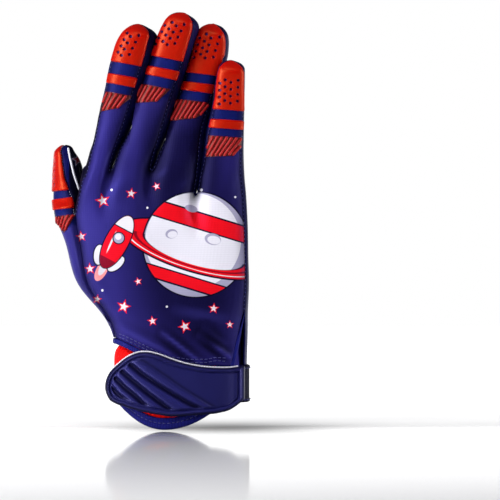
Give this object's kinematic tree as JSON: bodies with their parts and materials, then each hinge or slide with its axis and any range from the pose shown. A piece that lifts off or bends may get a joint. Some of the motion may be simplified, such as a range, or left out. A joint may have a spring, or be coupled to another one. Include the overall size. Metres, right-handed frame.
{
  "type": "football glove",
  "caption": "Left-hand football glove with stretch fabric panels, pierced silicone fingertip grips, stretch cuff, wrist slit and moulded closing strap, standing as if worn",
  "frame": {"origin": "centre of the wrist opening, between the lower lip and the palm's bound edge", "axes": "+Z from the wrist to the fingertips, the palm faces -Y, the thumb is on the -X side"},
  "size_m": [0.1134, 0.0564, 0.2361],
  "materials": {
    "printed_fabric": "satin stretch fabric with a sublimation print",
    "back_fabric": "matt knitted stretch fabric",
    "gusset_fabric": "matt knitted stretch fabric",
    "binding": "folded elastic binding",
    "cuff_knit": "ribbed stretch knit",
    "silicone": "glossy cast silicone",
    "hatch_print": "thin silicone with raised diagonal lines",
    "strap_rubber": "satin moulded rubber",
    "strap_webbing": "woven elastic",
    "hook_backing": "hook and loop tape"
  },
  "bodies": {
    "root": {"palm_panel": "printed_fabric", "thumb_panel": "printed_fabric", "back_panel": "back_fabric", "gusset_thumb_index": "gusset_fabric", "gusset_index_middle": "gusset_fabric", "gusset_middle_ring": "gusset_fabric", "gusset_ring_little": "gusset_fabric", "side_strip_little": "gusset_fabric", "slit_gusset": "gusset_fabric", "palm_binding": "binding", "back_binding": "binding", "cuff_hem": "binding", "cuff": "cuff_knit", "index_grip_pad": "silicone", "middle_grip_pad": "silicone", "ring_grip_pad": "silicone", "little_grip_pad": "silicone", "thumb_grip_pad": "silicone", "index_grip_bar": "silicone", "middle_grip_bar": "silicone", "ring_grip_bar": "silicone", "little_grip_bar": "silicone", "thumb_grip_bar": "silicone", "index_hatch_patch": "hatch_print", "middle_hatch_patch": "hatch_print", "ring_hatch_patch": "hatch_print", "little_hatch_patch": "hatch_print", "thumb_hatch_patch": "hatch_print", "strap_tab": "strap_rubber", "strap_band": "strap_webbing", "strap_backing": "hook_backing"}
  },
  "joints": []
}
